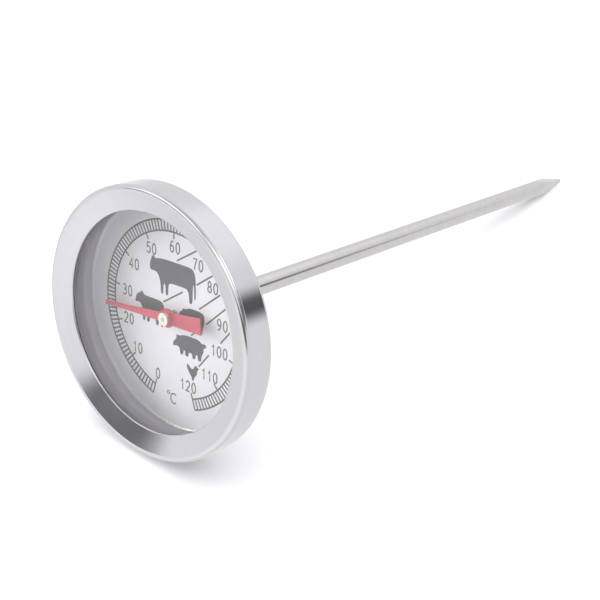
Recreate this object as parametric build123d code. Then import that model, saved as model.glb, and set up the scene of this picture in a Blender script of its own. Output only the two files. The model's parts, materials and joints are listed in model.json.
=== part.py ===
"""Dial thermometer with a bimetal probe: a crimped round case, a faceted stem and a pointer movement.

Every piece is drawn in the instrument's own frame: the dial faces +Z, the dial's 60 degree mark is
towards +Y, and depths are measured backwards from the front edge of the bezel. The finished pieces
are then laid down as the instrument lies on a table, on its rim and its tip.
"""

from build123d import *
from math import asin, atan2, cos, degrees, hypot, radians, sin, tan
import os

# Case and bezel
case_radius = 26.2
bezel_depth = 6.35
bezel_sheet = 0.5
lip_width = 5.0
lip_slope = 20.2
front_edge_round = 0.9
rear_edge_round = 0.7
crimp_width = 2.2
cut_edge_round = 0.2
case_sheet = 0.4
dial_well_margin = 1.6
case_corner_round = 0.3
flange_inner_round = 0.5
flange_outer_round = 0.6
boss_outer_radius = 12.5
boss_inner_radius = 9.5
boss_depth = 2.0
boss_round = 1.0
skirt_gap = 0.05

# Lens and its gasket
lens_thickness = 1.5
lens_edge_gap = 0.1
lens_chamfer = 0.15
gasket_inset = 0.45
gasket_gap = 0.02
gasket_thickness = 0.35

# Dial and pointer
dial_below_flange = 5.01
dial_thickness = 0.3
dial_edge_gap = 0.05
bush_head_rim = 0.3
bush_head_height = 0.35
bush_wall = 0.5
bush_tail_height = 0.3
pointer_height = 1.87
pointer_thickness = 0.3
pointer_margin = 5.8
pointer_tip_width = 0.84
pointer_root_width = 2.0
pointer_waist_share = 0.65
pointer_waist_width = 0.92
tail_length = 8.75
tail_root_width = 2.2
tail_end_width = 3.2
pointer_boss_width = 0.95
hub_wall = 0.45
hub_rim = 0.34
hub_front_height = 1.05
hub_rear_height = 0.75
hub_chamfer = 0.12

# Scale and the reading at rest
scale_middle = 60.0
degrees_per_celsius = 2.7
rest_reading = 25.0
dial_roll = 6.3

# Stem
stem_radius = 2.0
stem_wall = 0.4
swage_step = 0.2
overall_length = 149.4
tip_length = 12.5
tip_end_half_width = 0.3
tip_land = 0.6
tip_turned_taper = 0.3
tip_spigot_length = 3.0
washer_rim = 1.8
washer_thickness = 0.5
ferrule_head_rim = 1.2
ferrule_head_height = 0.6
ferrule_neck_wall = 1.0
ferrule_shoulder_wall = 2.6
ferrule_shoulder_height = 2.0
ferrule_sleeve_wall = 1.2
ferrule_sleeve_length = 6.0
ferrule_chamfer = 0.4
crimp_groove_radius = 0.35

# Movement inside the stem
shaft_radius = 0.45
shaft_running_gap = 0.05
shaft_proud = 0.1
shaft_end_round = 0.15
upper_bush_inset = 0.5
upper_bush_length = 4.0
guide_bush_length = 3.0
bush_chamfer = 0.15
coupling_gap = 1.0
coupling_tube_gap = 0.3
coupling_length = 4.0
spigot_length = 2.0
coil_tube_gap = 0.325
coil_strip_thickness = 0.15
coil_strip_width = 1.1
coil_turns = 21
coil_pitch = 1.5
coil_spigot_gap = 0.05
anchor_length = 2.6
anchor_tip_gap = 0.1


def spun(points):
    """Full turn about Z of a closed outline given as (radius, depth) pairs."""
    outline = Polyline(*[(radius, 0, -depth) for radius, depth in points], close=True)
    return revolve(make_face(outline), Axis.Z)


def drawn_sheet(points, radii, wall):
    """Sheet drawn to a round shape: its front surface follows the points, its thickness lies behind."""
    path = FilletPolyline(*[(radius, -depth) for radius, depth in points], radius=radii)
    band = offset(path, wall, side=Side.LEFT, closed=True)
    section = Plane.XZ.location * make_face(band)
    return revolve(section, Axis.Z)


def round_edges_at(shape, radius, depths, amount):
    """Rounds the circular edges that have this radius and one of these depths."""
    rims = ShapeList(
        edge
        for edge in shape.edges().filter_by(GeomType.CIRCLE)
        if abs(edge.radius - radius) < 1e-3
        and any(abs(edge.arc_center.Z + depth) < 1e-3 for depth in depths)
    )
    return fillet(rims, amount)


# Radii that follow from the driving dimensions
lip_radius = case_radius - lip_width
dial_well_radius = lip_radius + dial_well_margin
pointer_length = dial_well_radius - pointer_margin
pointer_waist = pointer_length * pointer_waist_share
bore_radius = shaft_radius + shaft_running_gap
bush_neck_radius = bore_radius + bush_wall
bush_head_radius = bush_neck_radius + bush_head_rim
hub_neck_radius = shaft_radius + hub_wall
hub_radius = hub_neck_radius + hub_rim
pointer_boss_radius = hub_neck_radius + pointer_boss_width
ferrule_neck_radius = stem_radius + ferrule_neck_wall
ferrule_head_radius = ferrule_neck_radius + ferrule_head_rim
ferrule_shoulder_radius = stem_radius + ferrule_shoulder_wall
ferrule_sleeve_radius = stem_radius + ferrule_sleeve_wall
washer_radius = ferrule_head_radius + washer_rim
tube_bore = stem_radius - stem_wall
swaged_radius = stem_radius - swage_step
swaged_bore = tube_bore - swage_step
coupling_radius = tube_bore - coupling_tube_gap
coil_radius = tube_bore - coil_tube_gap - coil_strip_thickness / 2
spigot_radius = coil_radius - coil_strip_thickness / 2 - coil_spigot_gap
skirt_radius = case_radius - max(bezel_sheet, rear_edge_round) - skirt_gap
lens_radius = skirt_radius - flange_outer_round - lens_edge_gap
gasket_radius = lip_radius + gasket_inset

# Depths of the lip, the lens and the dial
slope = radians(lip_slope)
lip_drop = (
    (case_radius - lip_radius - front_edge_round) * tan(slope)
    - front_edge_round / cos(slope)
    + front_edge_round
)
lip_corner_rise = (case_radius - lip_radius) * tan(slope) - lip_drop
crimp_face = bezel_depth - bezel_sheet


def lip_back(radius):
    """Depth of the gasket's front face, which follows the back of the sloping lip."""
    return lip_drop - (radius - lip_radius) * tan(slope) + bezel_sheet / cos(slope) + gasket_gap


lens_front = lip_back(gasket_radius) + gasket_thickness
flange_depth = lens_front + lens_thickness
dial_depth = flange_depth + dial_below_flange
pointer_depth = dial_depth - pointer_height
dial_back = dial_depth + dial_thickness
floor_centre = dial_back + boss_depth
head_back = floor_centre - washer_thickness
ferrule_top = head_back - ferrule_head_height
shoulder_depth = floor_centre + case_sheet
sleeve_depth = shoulder_depth + ferrule_shoulder_height
sleeve_end = sleeve_depth + ferrule_sleeve_length
tube_end = overall_length - tip_length - tip_land

# Depths of the movement, from the fixed end of the coil forwards to the hub
anchor_front = tube_end - tip_spigot_length - anchor_tip_gap - anchor_length
coil_back = anchor_front - coil_strip_width / 2
coil_front = coil_back - coil_turns * coil_pitch
coupling_back = coil_front - coil_strip_width / 2
coupling_front = coupling_back - coupling_length
lower_bush_front = coupling_front - coupling_gap - guide_bush_length
upper_bush_front = ferrule_top + upper_bush_inset
middle_bush_front = (upper_bush_front + lower_bush_front) / 2
shaft_front = pointer_depth - hub_front_height - shaft_proud


def front_bezel():
    """Ring that wraps the case: sloping lip, rolled front edge, side wall and a rear crimp."""
    points = [
        (case_radius - bezel_sheet - crimp_width + cut_edge_round, bezel_depth),
        (case_radius, bezel_depth),
        (case_radius, -lip_corner_rise),
        (lip_radius, lip_drop),
    ]
    ring = drawn_sheet(points, [rear_edge_round, front_edge_round], bezel_sheet)
    inner_radius = lip_radius + bezel_sheet * sin(slope)
    ring = round_edges_at(ring, lip_radius, [lip_drop], cut_edge_round)
    return round_edges_at(ring, inner_radius, [lip_drop + bezel_sheet * cos(slope)], cut_edge_round)


def lens_gasket():
    """Wedge ring between the back of the lip and the lens."""
    return spun(
        [
            (gasket_radius, lip_back(gasket_radius)),
            (lens_radius, lip_back(lens_radius)),
            (lens_radius, lens_front),
            (gasket_radius, lens_front),
        ]
    )


def lens():
    """Flat glass disc on the case flange."""
    disc = Pos(0, 0, -(lens_front + lens_thickness / 2)) * Cylinder(lens_radius, lens_thickness)
    return chamfer(disc.edges().filter_by(GeomType.CIRCLE), lens_chamfer)


def rear_case():
    """Drawn cup: hemmed flange under the lens, dial well, dished back and a hole for the ferrule."""
    points = [
        (skirt_radius, crimp_face),
        (skirt_radius, flange_depth),
        (dial_well_radius, flange_depth),
        (dial_well_radius, dial_back),
        (boss_outer_radius, dial_back),
        (boss_inner_radius, floor_centre),
        (ferrule_neck_radius, floor_centre),
    ]
    radii = [flange_outer_round, flange_inner_round, case_corner_round, boss_round, boss_round]
    return drawn_sheet(points, radii, case_sheet)


def dial_plate():
    """Thin printed disc on the floor of the dial well."""
    radius = dial_well_radius - case_corner_round - dial_edge_gap
    return spun(
        [
            (bush_neck_radius, dial_depth),
            (radius, dial_depth),
            (radius, dial_back),
            (bush_neck_radius, dial_back),
        ]
    )


def dial_bush():
    """Eyelet riveted through the dial, which guides the front of the shaft."""
    bush = spun(
        [
            (bore_radius, dial_depth - bush_head_height),
            (bush_head_radius, dial_depth - bush_head_height),
            (bush_head_radius, dial_depth),
            (bush_neck_radius, dial_depth),
            (bush_neck_radius, dial_back),
            (bush_head_radius, dial_back),
            (bush_head_radius, dial_back + bush_tail_height),
            (bore_radius, dial_back + bush_tail_height),
        ]
    )
    return round_edges_at(bush, bush_head_radius, [dial_depth - bush_head_height], bush_chamfer)


def stem_ferrule():
    """Turned ferrule riveted in the case's back, bored for the stem's swaged end."""
    ferrule = spun(
        [
            (swaged_radius, ferrule_top),
            (ferrule_head_radius, ferrule_top),
            (ferrule_head_radius, head_back),
            (ferrule_neck_radius, head_back),
            (ferrule_neck_radius, shoulder_depth),
            (ferrule_shoulder_radius, shoulder_depth),
            (ferrule_shoulder_radius, sleeve_depth),
            (ferrule_sleeve_radius, sleeve_depth),
            (ferrule_sleeve_radius, sleeve_end),
            (swaged_radius, sleeve_end),
        ]
    )
    rims = [
        edge
        for edge in ferrule.edges().filter_by(GeomType.CIRCLE)
        if edge.radius > ferrule_neck_radius and abs(edge.arc_center.Z + sleeve_end) < 1e-3
        or abs(edge.radius - ferrule_shoulder_radius) < 1e-3
        and abs(edge.arc_center.Z + sleeve_depth) < 1e-3
    ]
    ferrule = chamfer(ShapeList(rims), ferrule_chamfer)
    groove_depth = (sleeve_depth + sleeve_end) / 2
    return ferrule - Pos(0, 0, -groove_depth) * Torus(ferrule_sleeve_radius, crimp_groove_radius)


def backing_washer():
    """Washer that spreads the ferrule's riveted head over the thin floor of the case."""
    return spun(
        [
            (ferrule_neck_radius, head_back),
            (washer_radius, head_back),
            (washer_radius, floor_centre),
            (ferrule_neck_radius, floor_centre),
        ]
    )


def stem_tube():
    """Thin-walled tube to the tip, swaged down where it seats in the ferrule."""
    return spun(
        [
            (swaged_bore, ferrule_top),
            (swaged_radius, ferrule_top),
            (swaged_radius, sleeve_end),
            (stem_radius, sleeve_end),
            (stem_radius, tube_end),
            (tube_bore, tube_end),
            (tube_bore, sleeve_end + stem_wall),
            (swaged_bore, sleeve_end + stem_wall),
        ]
    )


def stem_tip():
    """Solid plug pressed in the tube's end, turned to a slight taper and ground to a four-sided point."""
    plug = spun(
        [
            (0, tube_end - tip_spigot_length),
            (tube_bore, tube_end - tip_spigot_length),
            (tube_bore, tube_end),
            (stem_radius, tube_end),
            (stem_radius, tube_end + tip_land),
            (stem_radius - tip_turned_taper, overall_length),
            (0, overall_length),
        ]
    )
    growth = (stem_radius - tip_end_half_width) / tip_length
    base_half_width = 2 * stem_radius
    base_depth = overall_length - (base_half_width - tip_end_half_width) / growth
    across_end = Rectangle(2 * tip_end_half_width, 2 * tip_end_half_width)
    across_base = Rectangle(2 * base_half_width, 2 * base_half_width)
    point = loft([Pos(0, 0, -base_depth) * across_base, Pos(0, 0, -overall_length) * across_end])
    return plug & point


def guide_bush(radius, front, length):
    """Bearing pressed in the stem, bored for the shaft and chamfered at both ends."""
    back = front + length
    bush = spun([(bore_radius, front), (radius, front), (radius, back), (bore_radius, back)])
    rims = bush.edges().filter_by(GeomType.CIRCLE)
    return chamfer(rims.filter_by(lambda edge: edge.radius > bore_radius + 1e-3), bush_chamfer)


def pointer_outline():
    """Pointer in its own plane, aimed along +Y, with a round boss and a flared tail."""
    blade = [
        (-pointer_tip_width / 2, pointer_length),
        (-pointer_waist_width / 2, pointer_waist),
        (-pointer_root_width / 2, 0),
        (pointer_root_width / 2, 0),
        (pointer_waist_width / 2, pointer_waist),
        (pointer_tip_width / 2, pointer_length),
    ]
    tail = [
        (-tail_root_width / 2, 0),
        (-tail_end_width / 2, -tail_length),
        (tail_end_width / 2, -tail_length),
        (tail_root_width / 2, 0),
    ]
    tapers = make_face(Polyline(*blade, close=True)) + make_face(Polyline(*tail, close=True))
    return tapers + Circle(pointer_boss_radius) - Circle(hub_neck_radius)


def pointer():
    """Sheet pointer, turned with the dial and to the reading it rests at."""
    angle = dial_roll + (scale_middle - rest_reading) * degrees_per_celsius
    back = -(pointer_depth + pointer_thickness)
    return Pos(0, 0, back) * Rot(0, 0, angle) * extrude(pointer_outline(), pointer_thickness)


def pointer_hub():
    """Turned hub riveted through the pointer and pressed on the shaft."""
    front = pointer_depth - hub_front_height
    pointer_back = pointer_depth + pointer_thickness
    back = pointer_back + hub_rear_height
    hub = spun(
        [
            (shaft_radius, front),
            (hub_radius, front),
            (hub_radius, pointer_depth),
            (hub_neck_radius, pointer_depth),
            (hub_neck_radius, pointer_back),
            (hub_radius, pointer_back),
            (hub_radius, back),
            (shaft_radius, back),
        ]
    )
    return round_edges_at(hub, hub_radius, [front, back], hub_chamfer)


def pointer_shaft():
    """Long wire shaft from the hub down to the coupling, rounded at the front."""
    length = coupling_back - shaft_front
    rod = Pos(0, 0, -(shaft_front + length / 2)) * Cylinder(shaft_radius, length)
    return round_edges_at(rod, shaft_radius, [shaft_front], shaft_end_round)


def shaft_coupling():
    """Collar pressed on the shaft's end, with a spigot for the coil's free end."""
    return spun(
        [
            (shaft_radius, coupling_front),
            (coupling_radius, coupling_front),
            (coupling_radius, coupling_back),
            (spigot_radius, coupling_back),
            (spigot_radius, coupling_back + spigot_length),
            (0, coupling_back + spigot_length),
            (0, coupling_back),
            (shaft_radius, coupling_back),
        ]
    )


def coil_anchor():
    """Plug pressed in the stem's end, with a spigot for the coil's fixed end."""
    return spun(
        [
            (0, anchor_front - spigot_length),
            (spigot_radius, anchor_front - spigot_length),
            (spigot_radius, anchor_front),
            (tube_bore, anchor_front),
            (tube_bore, anchor_front + anchor_length),
            (0, anchor_front + anchor_length),
        ]
    )


def bimetal_coil():
    """Helix of flat two-metal strip, which winds and unwinds with temperature."""
    path = Pos(0, 0, -coil_back) * Helix(coil_pitch, coil_turns * coil_pitch, coil_radius)
    start = Plane(origin=path @ 0, z_dir=path % 0, x_dir=(1, 0, 0))
    strip = start * Rectangle(coil_strip_thickness, coil_strip_width)
    return sweep(strip, path=path, is_frenet=True)


def resting_pose():
    """Where the instrument's frame lies once the rim's rear edge and the tip's end touch the table."""
    contact_radius = case_radius - rear_edge_round
    contact_depth = bezel_depth - rear_edge_round
    reach = overall_length - contact_depth
    fall = contact_radius - tip_end_half_width
    tilt = atan2(fall, reach) + asin(rear_edge_round / hypot(reach, fall))
    facing = Vector(0, -cos(tilt), sin(tilt))
    return Plane(origin=(0, 0, 0), x_dir=(1, 0, 0), z_dir=facing), tilt


pieces = {
    "front_bezel": front_bezel(),
    "lens_gasket": lens_gasket(),
    "lens": lens(),
    "rear_case": rear_case(),
    "dial_plate": dial_plate(),
    "dial_bush": dial_bush(),
    "stem_ferrule": stem_ferrule(),
    "backing_washer": backing_washer(),
    "stem_tube": stem_tube(),
    "stem_tip": stem_tip(),
    "upper_guide_bush": guide_bush(swaged_bore, upper_bush_front, upper_bush_length),
    "middle_guide_bush": guide_bush(tube_bore, middle_bush_front, guide_bush_length),
    "lower_guide_bush": guide_bush(tube_bore, lower_bush_front, guide_bush_length),
    "pointer": pointer(),
    "pointer_hub": pointer_hub(),
    "pointer_shaft": pointer_shaft(),
    "shaft_coupling": shaft_coupling(),
    "bimetal_coil": bimetal_coil(),
    "coil_anchor": coil_anchor(),
}

pose, tilt = resting_pose()
laid = {name: pose.location * piece for name, piece in pieces.items()}
bounds = Compound(list(laid.values())).bounding_box()
footing = Vector(-bounds.center().X, -bounds.center().Y, -bounds.min.Z)
os.makedirs("parts", exist_ok=True)
for name, piece in laid.items():
    export_step(Pos(*footing) * piece, f"parts/{name}.step")

axis = Vector(0, cos(tilt), -sin(tilt))
clear_length = tube_end + tip_land - sleeve_end
clear_middle = footing + axis * (sleeve_end + clear_length / 2)
print("tilt", round(degrees(tilt), 4), "axis", tuple(round(v, 6) for v in axis))
print("face centre", tuple(round(v, 4) for v in footing))
print("stem middle", tuple(round(v, 4) for v in clear_middle), "clear length", round(clear_length, 3))
print("size", bounds.size)
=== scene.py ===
"""Dial thermometer probe: finishes, printed dial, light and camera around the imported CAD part."""

import json
import math

import bmesh
import bpy
from mathutils import Matrix, Vector


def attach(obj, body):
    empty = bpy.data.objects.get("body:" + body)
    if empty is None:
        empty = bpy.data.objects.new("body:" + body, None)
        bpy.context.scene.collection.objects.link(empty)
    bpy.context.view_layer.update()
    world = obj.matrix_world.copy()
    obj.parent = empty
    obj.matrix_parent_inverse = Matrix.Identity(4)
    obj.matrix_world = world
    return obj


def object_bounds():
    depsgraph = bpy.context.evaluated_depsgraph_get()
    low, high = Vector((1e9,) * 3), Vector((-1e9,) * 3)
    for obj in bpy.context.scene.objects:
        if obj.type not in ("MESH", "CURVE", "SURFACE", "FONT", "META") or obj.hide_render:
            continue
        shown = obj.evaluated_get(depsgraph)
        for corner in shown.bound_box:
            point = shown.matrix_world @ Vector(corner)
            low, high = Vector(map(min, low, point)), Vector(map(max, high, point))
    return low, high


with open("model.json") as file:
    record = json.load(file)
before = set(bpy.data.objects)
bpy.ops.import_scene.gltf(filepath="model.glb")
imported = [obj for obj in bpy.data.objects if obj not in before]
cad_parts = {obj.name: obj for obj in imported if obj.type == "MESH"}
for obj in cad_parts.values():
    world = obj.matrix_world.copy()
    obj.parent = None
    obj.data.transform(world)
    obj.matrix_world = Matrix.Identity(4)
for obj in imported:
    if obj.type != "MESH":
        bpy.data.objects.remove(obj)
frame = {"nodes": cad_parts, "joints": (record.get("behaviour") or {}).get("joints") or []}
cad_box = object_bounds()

MM = 0.001
SCENE = bpy.context.scene
NODES = frame["nodes"]

# ---------------------------------------------------------------------------
# Where the instrument lies: the dial faces +Z of this frame, its top is +Y
# ---------------------------------------------------------------------------

turning = frame["joints"][0]
stem_axis = Vector(turning["axis"]).normalized()
face_centre = Vector(turning["pos_m"])
facing = -stem_axis
across = Vector((1.0, 0.0, 0.0))
upward = facing.cross(across).normalized()
case_turn = Matrix((across, upward, facing)).transposed().to_4x4()
case_frame = Matrix.Translation(face_centre) @ case_turn
DIAL_ROLL = math.radians(6.3)
dial_frame = case_frame @ Matrix.Rotation(DIAL_ROLL, 4, "Z")
into_case = case_frame.inverted()


def heights(name):
    """Lowest and highest place of a CAD node along the way the dial faces."""
    levels = [(into_case @ vertex.co).z for vertex in NODES[name].data.vertices]
    return min(levels), max(levels)


dial_front = heights("dial_plate")[1]


# ---------------------------------------------------------------------------
# Shader helpers
# ---------------------------------------------------------------------------


def add(tree, kind, settings=None, **inputs):
    """New node; settings are its properties, inputs its sockets by name, linked or plain."""
    made = tree.nodes.new(kind)
    for key, value in (settings or {}).items():
        setattr(made, key, value)
    for key, value in inputs.items():
        socket = made.inputs[int(key[1:])] if key[1:].isdigit() else made.inputs[key.replace("_", " ")]
        if isinstance(value, bpy.types.NodeSocket):
            tree.links.new(value, socket)
        else:
            socket.default_value = value
    return made


def maths(tree, operation, first, second=0.0, clamp=False):
    settings = {"operation": operation, "use_clamp": clamp}
    return add(tree, "ShaderNodeMath", settings, i0=first, i1=second).outputs[0]


def ramp(tree, value, low, high, to_low=0.0, to_high=1.0):
    made = add(
        tree,
        "ShaderNodeMapRange",
        {"interpolation_type": "SMOOTHSTEP"},
        Value=value,
        From_Min=low,
        From_Max=high,
        To_Min=to_low,
        To_Max=to_high,
    )
    return made.outputs[0]


def blend_colours(tree, mask, first, second):
    made = add(tree, "ShaderNodeMix", {"data_type": "RGBA"}, Factor=mask)
    for socket, value in ((made.inputs[6], first), (made.inputs[7], second)):
        if isinstance(value, bpy.types.NodeSocket):
            tree.links.new(value, socket)
        else:
            socket.default_value = value
    return made.outputs[2]


def new_group(name, inputs, outputs):
    """Empty shader group with float or vector inputs and float outputs."""
    tree = bpy.data.node_groups.new(name, "ShaderNodeTree")
    for label, kind, value in inputs:
        socket = tree.interface.new_socket(label, in_out="INPUT", socket_type=kind)
        if value is not None:
            socket.default_value = value
    for label in outputs:
        tree.interface.new_socket(label, in_out="OUTPUT", socket_type="NodeSocketFloat")
    return tree, tree.nodes.new("NodeGroupInput"), tree.nodes.new("NodeGroupOutput")


def turned_marks_group():
    """Fine rings left by turning or polishing about the instrument's axis."""
    tree, given, result = new_group(
        "turned_marks",
        [
            ("Place", "NodeSocketVector", None),
            ("Fineness", "NodeSocketFloat", 9000.0),
            ("Length", "NodeSocketFloat", 3.0),
        ],
        ["Marks", "Bands"],
    )
    place, fineness, length = (given.outputs[i] for i in range(3))
    parts = add(tree, "ShaderNodeSeparateXYZ", Vector=place)
    square = maths(
        tree,
        "ADD",
        maths(tree, "POWER", parts.outputs[0], 2.0),
        maths(tree, "POWER", parts.outputs[1], 2.0),
    )
    radius = maths(tree, "SQRT", square)
    angle = maths(tree, "ARCTAN2", parts.outputs[1], parts.outputs[0])
    level = maths(tree, "SUBTRACT", radius, parts.outputs[2])
    ring = add(
        tree,
        "ShaderNodeCombineXYZ",
        X=maths(tree, "MULTIPLY", level, fineness),
        Y=maths(tree, "MULTIPLY", maths(tree, "SINE", angle), length),
        Z=maths(tree, "MULTIPLY", maths(tree, "COSINE", angle), length),
    )
    fine = add(tree, "ShaderNodeTexNoise", Vector=ring.outputs[0], Scale=1.0, Detail=3.0, Roughness=0.6)
    slow = add(
        tree,
        "ShaderNodeCombineXYZ",
        X=maths(tree, "MULTIPLY", maths(tree, "MULTIPLY", level, fineness), 0.11),
        Y=maths(tree, "SINE", angle),
        Z=maths(tree, "COSINE", angle),
    )
    broad = add(tree, "ShaderNodeTexNoise", Vector=slow.outputs[0], Scale=1.0, Detail=2.0)
    tree.links.new(ramp(tree, fine.outputs[0], 0.3, 0.7), result.inputs["Marks"])
    tree.links.new(ramp(tree, broad.outputs[0], 0.3, 0.7), result.inputs["Bands"])
    return tree


def handling_group():
    """Faint smears and hairline scratches of a piece that has been wiped and carried."""
    tree, given, result = new_group(
        "handling",
        [("Place", "NodeSocketVector", None), ("Coarseness", "NodeSocketFloat", 1.0)],
        ["Smears", "Hairlines"],
    )
    place = add(tree, "ShaderNodeVectorMath", {"operation": "SCALE"}, i0=given.outputs[0])
    tree.links.new(given.outputs[1], place.inputs["Scale"])
    smear = add(
        tree,
        "ShaderNodeTexNoise",
        Vector=place.outputs[0],
        Scale=110.0,
        Detail=4.0,
        Distortion=0.8,
    )
    tilted = add(
        tree,
        "ShaderNodeMapping",
        Vector=place.outputs[0],
        Rotation=(0.5, 0.9, 0.3),
        Scale=(2600.0, 150.0, 150.0),
    )
    hair = add(tree, "ShaderNodeTexNoise", Vector=tilted.outputs[0], Scale=1.0, Detail=2.0)
    tree.links.new(ramp(tree, smear.outputs[0], 0.42, 0.68), result.inputs["Smears"])
    tree.links.new(ramp(tree, hair.outputs[0], 0.62, 0.72), result.inputs["Hairlines"])
    return tree


TURNED_MARKS = turned_marks_group()
HANDLING = handling_group()


def new_material(name):
    material = bpy.data.materials.new(name)
    material.use_nodes = True
    tree = material.node_tree
    tree.nodes.clear()
    surface = tree.nodes.new("ShaderNodeBsdfPrincipled")
    output = tree.nodes.new("ShaderNodeOutputMaterial")
    tree.links.new(surface.outputs[0], output.inputs["Surface"])
    return material, tree, surface, output


def case_place(tree):
    """A point's place in the instrument's own frame, in metres."""
    where = tree.nodes.new("ShaderNodeTexCoord")
    moved = add(
        tree,
        "ShaderNodeMapping",
        {"vector_type": "POINT"},
        Vector=where.outputs["Object"],
        Location=into_case.translation[:],
        Rotation=into_case.to_euler("XYZ")[:],
    )
    return moved.outputs[0]


def use_group(tree, group, **inputs):
    made = tree.nodes.new("ShaderNodeGroup")
    made.node_tree = group
    for key, value in inputs.items():
        socket = made.inputs[key]
        if isinstance(value, bpy.types.NodeSocket):
            tree.links.new(value, socket)
        else:
            socket.default_value = value
    return made


RING_SHARE = 0.6
RING_DEPTH = 0.01 * MM
GRAIN_DEPTH = 0.02 * MM


def steel(name, light, dark, roughness, spread, fineness=9000.0, length=3.0, relief=0.0, wear=0.3):
    """Turned or polished steel: rings of slightly different tone and gloss, smears and hairlines."""
    material, tree, surface, _ = new_material(name)
    place = case_place(tree)
    marks = use_group(tree, TURNED_MARKS, Place=place, Fineness=fineness, Length=length)
    touched = use_group(tree, HANDLING, Place=place)
    rings, bands = marks.outputs["Marks"], marks.outputs["Bands"]
    smears, hairlines = touched.outputs["Smears"], touched.outputs["Hairlines"]
    tone = maths(
        tree,
        "ADD",
        maths(tree, "MULTIPLY", rings, RING_SHARE),
        maths(tree, "MULTIPLY", bands, 1.0 - RING_SHARE),
    )
    tone = maths(tree, "ADD", tone, maths(tree, "MULTIPLY", smears, wear), clamp=True)
    colour = blend_colours(tree, tone, (*light, 1), (*dark, 1))
    tree.links.new(colour, surface.inputs["Base Color"])
    gloss = maths(tree, "MULTIPLY", rings, spread)
    gloss = maths(tree, "ADD", gloss, maths(tree, "MULTIPLY", smears, spread * wear * 2))
    gloss = maths(tree, "ADD", gloss, maths(tree, "MULTIPLY", hairlines, spread * wear))
    tree.links.new(maths(tree, "ADD", gloss, roughness), surface.inputs["Roughness"])
    surface.inputs["Metallic"].default_value = 1.0
    if relief:
        bump = add(tree, "ShaderNodeBump", Strength=relief, Distance=RING_DEPTH, Height=rings)
        tree.links.new(bump.outputs[0], surface.inputs["Normal"])
    return material


def coated(name, colour, other, roughness, spread, relief=0.05):
    """Paint, ink or rubber: two close tones, an uneven gloss and a fine grain."""
    material, tree, surface, _ = new_material(name)
    place = case_place(tree)
    cloud = add(tree, "ShaderNodeTexNoise", Vector=place, Scale=260.0, Detail=5.0)
    speck = add(tree, "ShaderNodeTexNoise", Vector=place, Scale=4000.0, Detail=2.0)
    tone = maths(
        tree,
        "ADD",
        maths(tree, "MULTIPLY", cloud.outputs[0], 0.7),
        maths(tree, "MULTIPLY", speck.outputs[0], 0.3),
    )
    mixed = blend_colours(tree, ramp(tree, tone, 0.35, 0.65), (*colour, 1), (*other, 1))
    tree.links.new(mixed, surface.inputs["Base Color"])
    gloss = ramp(tree, cloud.outputs[0], 0.3, 0.7, roughness, roughness + spread)
    tree.links.new(gloss, surface.inputs["Roughness"])
    bump = add(tree, "ShaderNodeBump", Strength=relief, Distance=GRAIN_DEPTH, Height=speck.outputs[0])
    tree.links.new(bump.outputs[0], surface.inputs["Normal"])
    return material


def clear_glass():
    """Flat clear glass that lets the lamp through to the dial, with faint wiping marks."""
    material, tree, surface, output = new_material("lens_glass")
    surface.inputs["Base Color"].default_value = (0.985, 0.99, 0.99, 1)
    surface.inputs["Transmission Weight"].default_value = 1.0
    surface.inputs["IOR"].default_value = 1.5
    touched = use_group(tree, HANDLING, Place=case_place(tree), Coarseness=0.6)
    tree.links.new(
        maths(tree, "MULTIPLY", touched.outputs["Smears"], 0.012), surface.inputs["Roughness"]
    )
    open_to_lamps = add(tree, "ShaderNodeBsdfTransparent", Color=(0.98, 0.985, 0.985, 1))
    path = tree.nodes.new("ShaderNodeLightPath")
    mixed = add(tree, "ShaderNodeMixShader", i0=path.outputs["Is Shadow Ray"])
    tree.links.new(surface.outputs[0], mixed.inputs[1])
    tree.links.new(open_to_lamps.outputs[0], mixed.inputs[2])
    tree.links.new(mixed.outputs[0], output.inputs["Surface"])
    return material


# Width and soft edge of a painted highlight: a near-white line on the case's steel at the foot of the
# well, standing in for the glint along the corner where the wall meets the dial
FOOT_LINE = 0.28 * MM
FOOT_LINE_EDGE = 0.12 * MM
PAINTED_GLINT = (0.97, 0.97, 0.98, 1)
dial_rim = max((into_case @ vertex.co).xy.length for vertex in NODES["dial_plate"].data.vertices)
well_reach = dial_rim + 0.35 * MM


def brushed_case():
    """The case's steel, with a narrow painted highlight line where the well's wall meets the dial."""
    material = steel(
        "case_brushed",
        (0.66, 0.645, 0.675),
        (0.59, 0.575, 0.605),
        0.34,
        0.12,
        fineness=6000.0,
        relief=0.04,
    )
    tree = material.node_tree
    surface = tree.nodes["Principled BSDF"]
    plain = surface.inputs["Base Color"].links[0].from_socket
    place = case_place(tree)
    height = add(tree, "ShaderNodeSeparateXYZ", Vector=place).outputs[2]
    flat = add(
        tree, "ShaderNodeVectorMath", {"operation": "MULTIPLY"}, i0=place, i1=(1.0, 1.0, 0.0)
    )
    reach = add(tree, "ShaderNodeVectorMath", {"operation": "LENGTH"}, i0=flat.outputs[0])
    line_top = dial_front + FOOT_LINE
    foot = ramp(tree, height, line_top, line_top + FOOT_LINE_EDGE, 1.0, 0.0)
    inside = ramp(
        tree, reach.outputs["Value"], well_reach + 0.05 * MM, well_reach + 0.15 * MM, 1.0, 0.0
    )
    line = maths(tree, "MULTIPLY", foot, inside)
    # Painted highlight: the foot of the well's wall is coloured near-white where light would glint
    tree.links.new(blend_colours(tree, line, plain, PAINTED_GLINT), surface.inputs["Base Color"])
    return material


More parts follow.
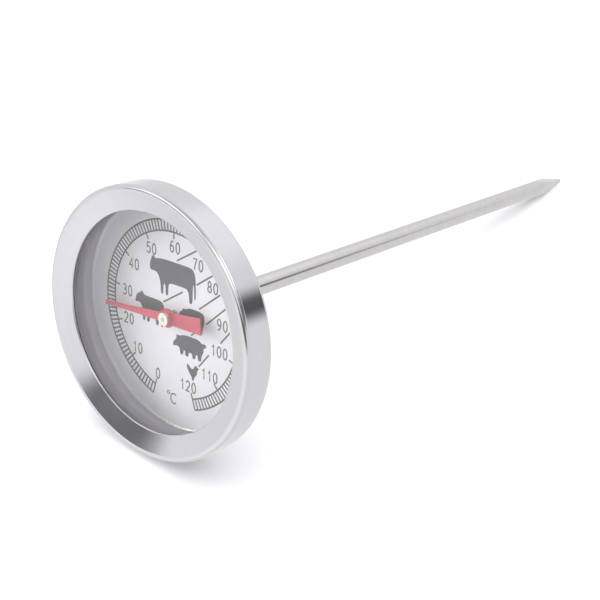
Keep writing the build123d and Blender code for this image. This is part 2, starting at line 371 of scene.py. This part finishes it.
STEELS = {
    "bezel_polish": ((0.775, 0.765, 0.80), (0.745, 0.735, 0.775), 0.055, 0.035, 9000.0, 3.0, 0.02),
    "stem_satin": ((0.75, 0.73, 0.735), (0.70, 0.68, 0.685), 0.12, 0.06, 5000.0, 0.5, 0.05),
    "turned_steel": ((0.68, 0.67, 0.67), (0.56, 0.56, 0.57), 0.22, 0.12, 7000.0, 3.0, 0.12),
    "movement_steel": ((0.60, 0.60, 0.61), (0.46, 0.46, 0.47), 0.28, 0.12),
    "bimetal_strip": ((0.55, 0.52, 0.47), (0.42, 0.40, 0.37), 0.32, 0.12),
    "guide_brass": ((0.78, 0.60, 0.32), (0.62, 0.46, 0.22), 0.22, 0.12),
    "bush_nickel": ((0.74, 0.72, 0.66), (0.60, 0.58, 0.53), 0.18, 0.10),
    "hub_plated": ((0.90, 0.87, 0.78), (0.80, 0.76, 0.66), 0.30, 0.10),
}
COATINGS = {
    "gasket_rubber": ((0.028, 0.028, 0.03), (0.045, 0.045, 0.047), 0.55, 0.2),
    "dial_enamel": ((0.90, 0.885, 0.915), (0.88, 0.865, 0.90), 0.42, 0.08, 0.03),
    "dial_ink": ((0.078, 0.074, 0.090), (0.100, 0.096, 0.115), 0.45, 0.1),
    "pointer_enamel": ((0.66, 0.085, 0.125), (0.61, 0.075, 0.11), 0.32, 0.12, 0.06),
}
FINISHES = {"case_brushed": brushed_case(), "lens_glass": clear_glass()}
FINISHES.update((name, steel(name, *look)) for name, look in STEELS.items())
FINISHES.update((name, coated(name, *look)) for name, look in COATINGS.items())

NODE_FINISH = {
    "front_bezel": "bezel_polish",
    "lens_gasket": "gasket_rubber",
    "lens": "lens_glass",
    "rear_case": "case_brushed",
    "dial_plate": "dial_enamel",
    "dial_bush": "bush_nickel",
    "stem_ferrule": "turned_steel",
    "backing_washer": "turned_steel",
    "stem_tube": "stem_satin",
    "stem_tip": "stem_satin",
    "upper_guide_bush": "guide_brass",
    "middle_guide_bush": "guide_brass",
    "lower_guide_bush": "guide_brass",
    "coil_anchor": "movement_steel",
    "bimetal_coil": "bimetal_strip",
    "pointer": "pointer_enamel",
    "pointer_hub": "hub_plated",
    "pointer_shaft": "movement_steel",
    "shaft_coupling": "movement_steel",
}
for name, finish in NODE_FINISH.items():
    slots = NODES[name].material_slots
    if not slots:
        NODES[name].data.materials.append(FINISHES[finish])
    for slot in slots:
        slot.material = FINISHES[finish]


# ---------------------------------------------------------------------------
# Printing on the dial, in millimetres in the dial's own plane
# ---------------------------------------------------------------------------

INK_SUNK = 0.005
INK_PROUD = 0.02
LAYER = 0.003
OUTER_LINE = 18.4
INNER_LINE = 16.25
LONG_MARK_END = 15.0
LINE_WIDTH = 0.31
MARK_WIDTH = 0.30
START_ANGLE = -162.0
TURN_PER_DEGREE = 2.7
TOP_OF_SCALE = 120
ARC_STEPS = 240
SAME_POINT = 1e-7


def on_dial(x, y, z=0.0):
    return Vector((x * MM, y * MM, dial_front + z * MM))


def mesh_object_from(work, name):
    mesh = bpy.data.meshes.new(name)
    bmesh.ops.recalc_face_normals(work, faces=work.faces)
    work.to_mesh(mesh)
    work.free()
    made = bpy.data.objects.new(name, mesh)
    SCENE.collection.objects.link(made)
    return made


def finish_print(work, name):
    """Lays a flat print made about the dial's centre on the dial plate."""
    mesh_object = mesh_object_from(work, name)
    mesh_object.data.transform(dial_frame)
    mesh_object.data.update()
    mesh_object.data.materials.append(FINISHES["dial_ink"])
    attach(mesh_object, "case")


def add_bar(work, start, end, width):
    """Flat printed bar between two points of the dial."""
    start, end = Vector(start), Vector(end)
    middle = (start + end) / 2
    along = end - start
    place = (
        Matrix.Translation(on_dial(middle.x, middle.y, (INK_PROUD - INK_SUNK) / 2))
        @ Matrix.Rotation(math.atan2(along.y, along.x), 4, "Z")
        @ Matrix.Diagonal((along.length * MM, width * MM, (INK_PROUD + INK_SUNK) * MM, 1.0))
    )
    bmesh.ops.create_cube(work, size=1.0, matrix=place)


def polar(radius, clockwise):
    turn = math.radians(clockwise)
    return radius * math.sin(turn), radius * math.cos(turn)


def add_arc(work, radius, width, start, end):
    """Printed line along a circle, spun from a small upright rectangle."""
    low, high = radius - width / 2, radius + width / 2
    turned = Matrix.Rotation(-math.radians(start), 4, "Z")
    corners = [(low, -INK_SUNK), (high, -INK_SUNK), (high, INK_PROUD), (low, INK_PROUD)]
    ring = [work.verts.new(turned @ on_dial(0, r, z)) for r, z in corners]
    face = work.faces.new(ring)
    bmesh.ops.spin(
        work,
        geom=[face],
        cent=(0, 0, 0),
        axis=(0, 0, -1),
        angle=math.radians(end - start),
        steps=ARC_STEPS,
        use_duplicate=False,
    )


def print_scale():
    work = bmesh.new()
    end_angle = START_ANGLE + TOP_OF_SCALE * TURN_PER_DEGREE
    for reading in range(TOP_OF_SCALE + 1):
        angle = START_ANGLE + reading * TURN_PER_DEGREE
        inner = LONG_MARK_END if reading % 10 == 0 else INNER_LINE
        add_bar(work, polar(inner, angle), polar(OUTER_LINE, angle), MARK_WIDTH)
    for radius in (OUTER_LINE, INNER_LINE):
        add_arc(work, radius, LINE_WIDTH, START_ANGLE, end_angle)
    finish_print(work, "printed_scale")


# Each guide line's parts, from a picture out to the scale; where a numeral or picture is crossed
# the line has a gap
GUIDE_LINES = [
    [((0.77, 10.98), (5.84, 14.12))],
    [((-2.78, 2.01), (2.30, 5.29)), ((5.91, 7.63), (9.90, 10.39))],
    [((6.62, 3.11), (11.87, 7.27))],
    [((4.53, -2.66), (5.52, -1.86)), ((8.45, 0.63), (13.18, 4.90))],
    [((6.59, -8.32), (9.19, -5.20)), ((12.05, -2.06), (14.38, 0.70))],
]


def print_guides():
    work = bmesh.new()
    for parts in GUIDE_LINES:
        for start, end in parts:
            add_bar(work, start, end, LINE_WIDTH)
    finish_print(work, "printed_guide_lines")


NUMERALS = [
    ("0", -4.33, -13.09),
    ("10", -10.03, -9.37),
    ("20", -12.39, -3.93),
    ("30", -12.74, 1.75),
    ("40", -10.78, 7.56),
    ("50", -6.01, 11.78),
    ("60", 0.26, 13.43),
    ("70", 6.19, 11.49),
    ("80", 9.94, 8.09),
    ("90", 12.46, 1.54),
    ("100", 11.76, -3.84),
    ("110", 9.34, -9.35),
    ("120", 3.80, -13.14),
]
STROKE = 0.27
FIGURE_WIDTH = 0.92
FIGURE_HEIGHT = 2.08
FIGURE_STEP = 1.52
SHARPEST_CORNER = 0.45
UNIT_PLACE = (0.02, -16.98)
UNIT_SIZE = (1.70, 2.05)
DEGREE_PLACE = (-1.42, -16.06)
DEGREE_RADIUS = 0.33
DEGREE_STROKE = 0.2


def bow(x, y, wide, high, start, end, steps=14):
    """Points along part of an ellipse, angles anticlockwise from the right."""
    turns = [math.radians(start + (end - start) * step / steps) for step in range(steps + 1)]
    return [(x + wide * math.cos(turn), y + high * math.sin(turn)) for turn in turns]


# Middle lines of the figures, in a box one wide and one high about the origin
FIGURES = {
    "0": [bow(0, 0, 0.5, 0.5, 90, 450, 24)],
    "1": [[(-0.30, 0.26), (0.0, 0.34), (0.16, 0.5), (0.16, -0.5)]],
    "2": [bow(0, 0.22, 0.47, 0.28, 170, -30) + [(-0.5, -0.5), (0.5, -0.5)]],
    "3": [bow(0, 0.25, 0.42, 0.25, 150, -80) + bow(0, -0.22, 0.48, 0.28, 80, -150)],
    "4": [[(0.25, -0.5), (0.25, 0.5), (-0.5, -0.2), (0.5, -0.2)]],
    "5": [[(0.42, 0.5), (-0.30, 0.5), (-0.42, 0.02)] + bow(0, -0.17, 0.48, 0.33, 130, -150)],
    "6": [bow(0, -0.2, 0.46, 0.3, 180, 540, 20), bow(0.14, -0.1, 0.60, 0.6, 176, 68)],
    "7": [[(-0.5, 0.5), (0.5, 0.5), (0.1, 0.0), (-0.12, -0.5)]],
    "8": [bow(0, 0.26, 0.40, 0.24, 90, 450, 18), bow(0, -0.23, 0.48, 0.27, 90, 450, 20)],
    "9": [bow(0, 0.2, 0.46, 0.3, 0, 360, 20), bow(-0.14, 0.1, 0.60, 0.6, -4, -112)],
    "C": [bow(0, 0, 0.5, 0.5, 48, 312, 22)],
}


def add_stroke(work, points, width, lift):
    """Flat printed line of even width along the points, closed when it ends where it began."""
    spots = [Vector(point) for point in points]
    last = len(spots) - 1
    closed = (spots[0] - spots[-1]).length < 1e-6
    sides = []
    for index, spot in enumerate(spots):
        before = spots[-2] if closed and index == 0 else spots[max(index - 1, 0)]
        after = spots[1] if closed and index == last else spots[min(index + 1, last)]
        into = (spot - before).normalized() if index or closed else (after - spot).normalized()
        out = (after - spot).normalized() if index < last or closed else into
        along = (into + out).normalized()
        spread = width / 2 / max(along.dot(into), SHARPEST_CORNER)
        across_line = Vector((-along.y, along.x)) * spread
        sides.append((spot + across_line, spot - across_line))
    bottom, top = -INK_SUNK, INK_PROUD + lift
    rings = []
    for left, right in sides:
        corners = ((left, bottom), (right, bottom), (right, top), (left, top))
        rings.append([work.verts.new(on_dial(side.x, side.y, z)) for side, z in corners])
    for one, other in zip(rings, rings[1:]):
        for k in range(4):
            work.faces.new((one[k], one[(k + 1) % 4], other[(k + 1) % 4], other[k]))
    if not closed:
        work.faces.new(rings[0])
        work.faces.new(rings[-1])


def add_figure(work, figure, place, size):
    """One figure's lines, each a layer above the one before so that no faces coincide."""
    (x, y), (wide, high) = place, size
    for layer, line in enumerate(FIGURES[figure]):
        points = [(x + px * wide, y + py * high) for px, py in line]
        add_stroke(work, points, STROKE, layer * LAYER)


def print_numerals():
    work = bmesh.new()
    for text, x, y in NUMERALS:
        for place, figure in enumerate(text):
            left = x + (place - (len(text) - 1) / 2) * FIGURE_STEP
            add_figure(work, figure, (left, y), (FIGURE_WIDTH, FIGURE_HEIGHT))
    add_figure(work, "C", UNIT_PLACE, UNIT_SIZE)
    degree_ring = bow(*DEGREE_PLACE, DEGREE_RADIUS, DEGREE_RADIUS, 0, 360, 16)
    add_stroke(work, degree_ring, DEGREE_STROKE, 0)
    bmesh.ops.remove_doubles(work, verts=work.verts, dist=SAME_POINT)
    finish_print(work, "printed_numerals")


def thicken(work, faces):
    """Gives flat faces in the dial's plane the thickness of the ink."""
    grown = bmesh.ops.extrude_face_region(work, geom=faces)
    top = [item for item in grown["geom"] if isinstance(item, bmesh.types.BMVert)]
    bmesh.ops.translate(work, verts=top, vec=(0, 0, (INK_PROUD + INK_SUNK) * MM))


# Plain pictograms, as outlines that are softened when they are drawn
ANIMALS = {
    "printed_cattle": [
        (-6.5, 8.5), (-6.0, 10.0), (-5.5, 10.8), (-5.0, 10.0), (-3.5, 10.5), (0.0, 10.5), (4.0, 10.5),
        (5.0, 10.3), (5.6, 9.0), (5.7, 6.5), (5.7, 4.5), (5.3, 4.5), (5.3, 6.5), (5.1, 7.8), (4.9, 6.5),
        (4.9, 3.5), (4.0, 3.5), (4.0, 5.2), (3.5, 6.2), (1.5, 6.2), (-1.0, 6.2), (-1.5, 5.6),
        (-1.5, 3.5), (-2.2, 3.5), (-2.2, 5.6), (-2.6, 5.8), (-2.8, 5.2), (-2.8, 3.5), (-3.5, 3.5),
        (-3.5, 5.5), (-4.0, 7.0), (-4.8, 7.7), (-6.2, 7.5),
    ],
    "printed_sheep": [
        (-10.5, 0.5), (-10.0, 2.0), (-9.0, 2.2), (-8.7, 3.0), (-8.2, 2.0), (-6.5, 2.0), (-4.5, 2.0),
        (-3.2, 1.9), (-2.5, 1.0), (-2.5, -0.5), (-2.8, -1.6), (-2.8, -3.2), (-3.5, -3.2), (-3.5, -1.8),
        (-4.0, -1.7), (-4.1, -3.2), (-4.8, -3.2), (-4.9, -1.8), (-6.5, -1.8), (-6.6, -3.2),
        (-7.3, -3.2), (-7.3, -1.8), (-7.7, -1.7), (-7.8, -3.2), (-8.5, -3.2), (-8.4, -1.2), (-8.8, 0.0),
        (-9.6, 0.4), (-10.4, 0.0),
    ],
    "printed_calf": [
        (1.3, 0.6), (1.7, 1.5), (2.2, 1.6), (2.5, 2.3), (3.0, 2.0), (4.0, 2.6), (5.5, 2.6), (7.0, 2.6),
        (7.9, 2.2), (8.0, 1.0), (7.8, 0.0), (7.5, -0.6), (7.5, -1.7), (6.8, -1.7), (6.7, -0.5),
        (5.5, -0.3), (4.4, -0.5), (4.3, -1.7), (3.6, -1.7), (3.5, -0.2), (2.7, 0.2), (1.6, 0.0),
    ],
    "printed_pig": [
        (-0.3, -5.6), (0.2, -4.7), (0.8, -4.3), (0.6, -3.4), (1.5, -3.6), (2.5, -3.1), (4.5, -3.0),
        (6.5, -3.0), (7.5, -3.7), (8.0, -3.3), (8.6, -3.8), (8.1, -4.3), (7.8, -4.3), (7.8, -5.2),
        (7.3, -6.0), (7.2, -7.2), (6.4, -7.2), (6.3, -6.1), (5.8, -6.1), (5.7, -7.2), (4.9, -7.2),
        (4.9, -6.2), (3.9, -6.2), (3.9, -7.2), (3.1, -7.2), (3.0, -6.1), (2.6, -6.1), (2.5, -7.2),
        (1.7, -7.2), (1.6, -5.9), (0.8, -5.7), (-0.2, -6.0),
    ],
    "printed_hen": [
        (3.5, -8.5), (4.1, -8.8), (4.5, -9.3), (5.2, -9.3), (5.5, -8.6), (6.0, -8.3), (6.3, -8.7),
        (6.8, -8.9), (6.2, -9.2), (6.2, -10.0), (5.7, -10.7), (5.4, -10.9), (5.4, -11.6), (4.8, -11.6),
        (4.8, -10.9), (4.4, -10.6), (3.9, -10.0), (3.5, -9.3),
    ],
}


def print_animal(name, outline):
    """Plain silhouette with a softened outline."""
    curve = bpy.data.curves.new(name, "CURVE")
    curve.dimensions = "2D"
    curve.fill_mode = "BOTH"
    spline = curve.splines.new("NURBS")
    spline.points.add(len(outline) - 1)
    for point, (x, y) in zip(spline.points, outline):
        point.co = (x, y, 0, 1)
    spline.order_u = 3
    spline.use_cyclic_u = True
    spline.resolution_u = 4
    made = bpy.data.objects.new(name, curve)
    SCENE.collection.objects.link(made)
    bpy.context.view_layer.update()
    depsgraph = bpy.context.evaluated_depsgraph_get()
    mesh = bpy.data.meshes.new_from_object(made.evaluated_get(depsgraph))
    bpy.data.objects.remove(made)
    mesh.transform(Matrix.Translation(on_dial(0, 0, -INK_SUNK)) @ Matrix.Scale(MM, 4))
    work = bmesh.new()
    work.from_mesh(mesh)
    bpy.data.meshes.remove(mesh)
    bmesh.ops.remove_doubles(work, verts=work.verts, dist=SAME_POINT)
    thicken(work, list(work.faces))
    finish_print(work, name)


print_scale()
print_guides()
print_numerals()
for animal, outline in ANIMALS.items():
    print_animal(animal, outline)


# ---------------------------------------------------------------------------
# Stage, light and camera
# ---------------------------------------------------------------------------

FLOOR_SIZE = 6.0
FLOOR_GAP = 0.1 * MM


def floor_material():
    material, tree, surface, _ = new_material("floor_white")
    place = tree.nodes.new("ShaderNodeTexCoord").outputs["Object"]
    cloud = add(tree, "ShaderNodeTexNoise", Vector=place, Scale=6.0, Detail=3.0)
    tree.links.new(
        blend_colours(tree, cloud.outputs[0], (0.90, 0.90, 0.91, 1), (0.92, 0.92, 0.925, 1)),
        surface.inputs["Base Color"],
    )
    surface.inputs["Roughness"].default_value = 0.6
    return material


def lay_floor():
    """Plain pale floor just under the instrument, left out of what the metal mirrors."""
    work = bmesh.new()
    bmesh.ops.create_grid(work, x_segments=1, y_segments=1, size=FLOOR_SIZE / 2)
    down = Matrix.Translation((0, 0, cad_box[0][2] - FLOOR_GAP))
    bmesh.ops.transform(work, matrix=down, verts=work.verts)
    made = mesh_object_from(work, "floor")
    made.data.materials.append(floor_material())
    made.visible_glossy = False


lay_floor()

# A plain studio for the metal to mirror: white soft boxes and grey cards, all without colour.
# Each is its bearings and heights in degrees, the softness of its edge and its tone. Bearing 0 is +X
# and 90 is +Y, and later entries lie over earlier ones.
STUDIO_TONE = 0.83
STUDIO_CARDS = [
    ((-180, 180), (-91, 1), 4, 0.845),
    ((-140, -62), (-60, 2), 26, 1.03),
    ((62, 118), (30, 62), 14, 1.06),
    ((115, 155), (-30, -8), 10, 0.95),
    ((-170, -50), (46, 91), 8, 0.58),
    ((-152, -106), (19, 43), 5, 1.40),
    ((-90, -42), (31, 55), 5, 1.60),
    ((-6, 36), (38, 64), 6, 1.50),
    ((-38, 34), (12, 32), 6, 0.20),
    ((-88, -38), (-2, 16), 5, 0.16),
    ((37, 53), (1, 16), 5, 0.10),
    ((-143, -107), (4, 13), 4, 0.19),
]
WORLD_WHITE = (1.02, 1.025, 1.04)
# Tones that light the matt surfaces, below and above a soft edge between two heights in degrees
AMBIENT_LOW = (0.36, 0.36, 0.38)
AMBIENT_HIGH = (2.15, 2.13, 2.20)
AMBIENT_EDGE = (30.0, 46.0)


def studio_world():
    """Background with one tone for the camera, one for matt surfaces and the cards for mirrors."""
    world = bpy.data.worlds.new("studio")
    SCENE.world = world
    world.use_nodes = True
    tree = world.node_tree
    sky = tree.nodes["Background"]
    direction = tree.nodes.new("ShaderNodeTexCoord").outputs["Generated"]
    ray = add(tree, "ShaderNodeSeparateXYZ", Vector=direction)
    bearing = maths(tree, "DEGREES", maths(tree, "ARCTAN2", ray.outputs[1], ray.outputs[0]))
    height = maths(tree, "DEGREES", maths(tree, "ARCSINE", ray.outputs[2]))
    tone = STUDIO_TONE
    for (left, right), (low, high), soft, card in STUDIO_CARDS:
        mask = maths(
            tree,
            "MULTIPLY",
            ramp(tree, height, low - soft, low + soft),
            ramp(tree, height, high - soft, high + soft, 1.0, 0.0),
        )
        if right - left < 360:
            for edge, start, end in ((left, 0.0, 1.0), (right, 1.0, 0.0)):
                side = ramp(tree, bearing, edge - soft, edge + soft, start, end)
                mask = maths(tree, "MULTIPLY", mask, side)
        kept = maths(tree, "MULTIPLY", tone, maths(tree, "SUBTRACT", 1.0, mask))
        tone = maths(tree, "ADD", kept, maths(tree, "MULTIPLY", mask, card))
    path = tree.nodes.new("ShaderNodeLightPath")
    above = ramp(tree, height, *AMBIENT_EDGE)
    ambient = blend_colours(tree, above, (*AMBIENT_LOW, 1), (*AMBIENT_HIGH, 1))
    lit = blend_colours(tree, path.outputs["Is Diffuse Ray"], (*WORLD_WHITE, 1), ambient)
    seen = blend_colours(tree, path.outputs["Is Glossy Ray"], lit, tone)
    tree.links.new(seen, sky.inputs["Color"])
    sky.inputs["Strength"].default_value = 1.0


studio_world()


KEY_PLACE = Vector((-0.58, -0.37, 0.12))
KEY_SIZE = (0.36, 0.30)
KEY_POWER = 2.3


def key_light():
    """Large soft lamp towards the dial, hidden from the camera and from the metal."""
    lamp = bpy.data.lights.new("key", "AREA")
    lamp.shape = "RECTANGLE"
    lamp.size, lamp.size_y = KEY_SIZE
    lamp.energy = KEY_POWER
    made = bpy.data.objects.new("key", lamp)
    made.location = KEY_PLACE
    made.rotation_euler = (face_centre - KEY_PLACE).to_track_quat("-Z", "Y").to_euler()
    made.visible_camera = False
    made.visible_glossy = False
    SCENE.collection.objects.link(made)


key_light()

CAMERA_SENSOR = 36.0
CAMERA_LENS = 76.77
# From a point just behind the face's centre, and the way the camera looks
CAMERA_START = 0.24 * MM
CAMERA_REACH = Vector((149.84, -126.14, 128.96)) * MM
CAMERA_LOOK = Vector((-0.55952446, 0.6315823, -0.53669002))

camera = bpy.data.objects.new("camera", bpy.data.cameras.new("camera"))
SCENE.collection.objects.link(camera)
SCENE.camera = camera
camera.data.sensor_width = CAMERA_SENSOR
camera.data.lens = CAMERA_LENS
camera.data.clip_start = 0.005
camera.data.clip_end = 50.0
camera.location = face_centre + stem_axis * CAMERA_START + CAMERA_REACH
camera.rotation_euler = CAMERA_LOOK.to_track_quat("-Z", "Y").to_euler()

SCENE.view_settings.view_transform = "Standard"
SCENE.view_settings.look = "None"
